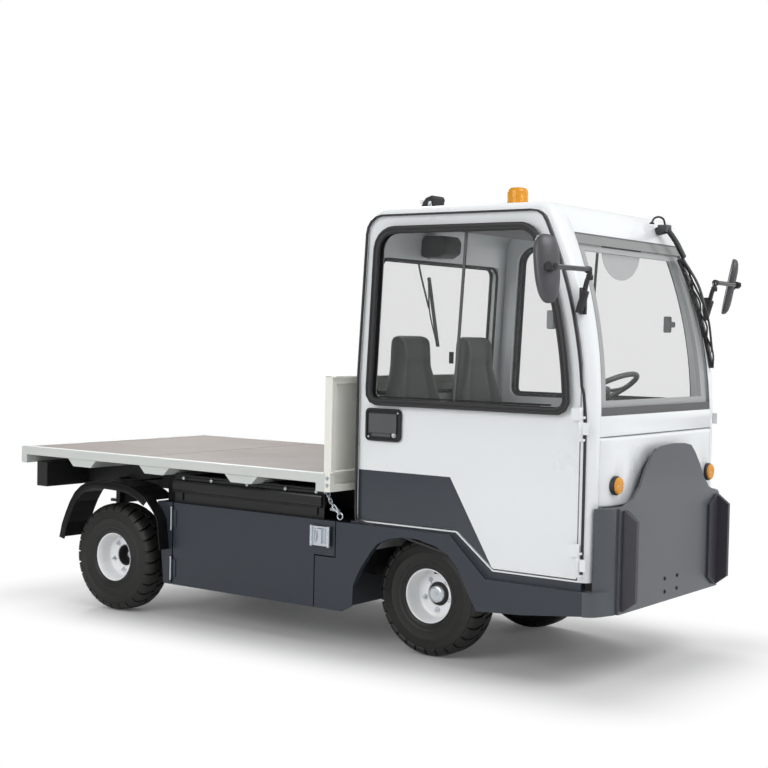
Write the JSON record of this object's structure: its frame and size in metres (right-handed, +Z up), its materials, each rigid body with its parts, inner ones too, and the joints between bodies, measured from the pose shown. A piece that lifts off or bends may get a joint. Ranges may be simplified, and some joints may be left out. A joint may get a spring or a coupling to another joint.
{
  "type": "airport baggage tug",
  "caption": "Electric airport baggage tug with a closed two-seat cab in front, a low load deck behind, steered front wheels, hinged cab doors and battery panels.",
  "frame": {"origin": "on the ground, on the centreline, at half the overall length", "axes": "+X forward, +Y to the vehicle's left, +Z up"},
  "size_m": [3.48, 1.9146, 2.114],
  "materials": {
    "tyre": "matte",
    "rim_paint": "satin",
    "anthracite": "satin",
    "glass": "gloss",
    "black_plastic": "satin",
    "seat_fabric": "matte",
    "grey_interior": "matte",
    "white_paint": "gloss",
    "black_steel": "satin",
    "grey_steel": "satin",
    "board": "matte",
    "cream_paint": "satin",
    "orange_lens": "gloss",
    "red_lens": "gloss"
  },
  "bodies": {
    "chassis": {"battery_box": "anthracite", "battery_covers": "black_plastic", "battery_pack": "black_steel", "beacon": "orange_lens", "cab_cowl": "white_paint", "cab_floor": "grey_interior", "cab_front_panel": "white_paint", "cab_rear_wall": "white_paint", "cab_roof": "white_paint", "cab_side_left": "white_paint", "cab_side_right": "white_paint", "chassis_frame": "black_steel", "dashboard": "black_plastic", "deck_boards": "board", "deck_frame": "grey_steel", "drive_motor": "black_steel", "fenders": "black_plastic", "front_axle": "black_steel", "front_body": "anthracite", "front_buffers": "anthracite", "front_plate": "anthracite", "headboard": "cream_paint", "indicators": "orange_lens", "mirror_left": "black_plastic", "mirror_right": "black_plastic", "rear_axle": "black_steel", "rear_beam": "black_steel", "rear_lamps": "red_lens", "rear_springs": "black_steel", "rear_window": "glass", "seat_base": "grey_interior", "seat_left": "seat_fabric", "seat_right": "seat_fabric", "skirt_left": "anthracite", "skirt_right": "anthracite", "steering_wheel": "black_plastic", "tow_jaw": "black_steel", "windscreen": "glass", "work_lamp": "black_plastic"},
    "rear_wheel_left": {"tyre_rear_left": "tyre", "rim_rear_left": "rim_paint"},
    "steering_left": {"knuckle_left": "black_steel"},
    "front_wheel_left": {"tyre_front_left": "tyre", "rim_front_left": "rim_paint"},
    "cab_door_left": {"door_left": "white_paint", "door_glass_left": "glass", "door_handle_left": "black_plastic"},
    "battery_panel_left": {"battery_door_left": "anthracite"},
    "rear_wheel_right": {"tyre_rear_right": "tyre", "rim_rear_right": "rim_paint"},
    "steering_right": {"knuckle_right": "black_steel"},
    "front_wheel_right": {"tyre_front_right": "tyre", "rim_front_right": "rim_paint"},
    "cab_door_right": {"door_right": "white_paint", "door_glass_right": "glass", "door_handle_right": "black_plastic"},
    "battery_panel_right": {"battery_door_right": "anthracite"},
    "steering_link": {"tie_rod": "black_steel"}
  },
  "joints": [
    {"name": "rear_wheel_left_spin", "type": "hinge", "parent": "chassis", "child": "rear_wheel_left", "pos_m": [-1.065, 0.6, 0.27], "axis": [0, 1, 0], "continuous": true},
    {"name": "steer_left", "type": "hinge", "parent": "chassis", "child": "steering_left", "pos_m": [0.749, 0.335, 0.27], "axis": [0, 0, 1], "range_deg": [-30, 30]},
    {"name": "front_wheel_left_spin", "type": "hinge", "parent": "steering_left", "child": "front_wheel_left", "pos_m": [0.749, 0.428, 0.27], "axis": [0, 1, 0], "continuous": true},
    {"name": "cab_door_left_swing", "type": "hinge", "parent": "chassis", "child": "cab_door_left", "pos_m": [1.557, 0.623, 0.9], "axis": [0, 0, -1], "range_deg": [0, 75]},
    {"name": "battery_panel_left_swing", "type": "hinge", "parent": "chassis", "child": "battery_panel_left", "pos_m": [-0.694, 0.634, 0.37], "axis": [0, 0, 1], "range_deg": [0, 95]},
    {"name": "rear_wheel_right_spin", "type": "hinge", "parent": "chassis", "child": "rear_wheel_right", "pos_m": [-1.065, -0.6, 0.27], "axis": [0, 1, 0], "continuous": true},
    {"name": "steer_right", "type": "hinge", "parent": "chassis", "child": "steering_right", "pos_m": [0.749, -0.335, 0.27], "axis": [0, 0, 1], "range_deg": [-30, 30]},
    {"name": "front_wheel_right_spin", "type": "hinge", "parent": "steering_right", "child": "front_wheel_right", "pos_m": [0.749, -0.428, 0.27], "axis": [0, 1, 0], "continuous": true},
    {"name": "cab_door_right_swing", "type": "hinge", "parent": "chassis", "child": "cab_door_right", "pos_m": [1.557, -0.623, 0.9], "axis": [0, 0, 1], "range_deg": [0, 75]},
    {"name": "battery_panel_right_swing", "type": "hinge", "parent": "chassis", "child": "battery_panel_right", "pos_m": [-0.694, -0.634, 0.37], "axis": [0, 0, -1], "range_deg": [0, 95]},
    {"name": "steering_link_slide", "type": "slide", "parent": "chassis", "child": "steering_link", "axis": [0, 1, 0], "range_m": [-0.069, 0.069]}
  ],
  "couplings": [
    {"joint": "steer_right", "follows": "steer_left", "ratio": 1},
    {"joint": "steering_link_slide", "follows": "steer_left", "m_per_rad": -0.13}
  ]
}
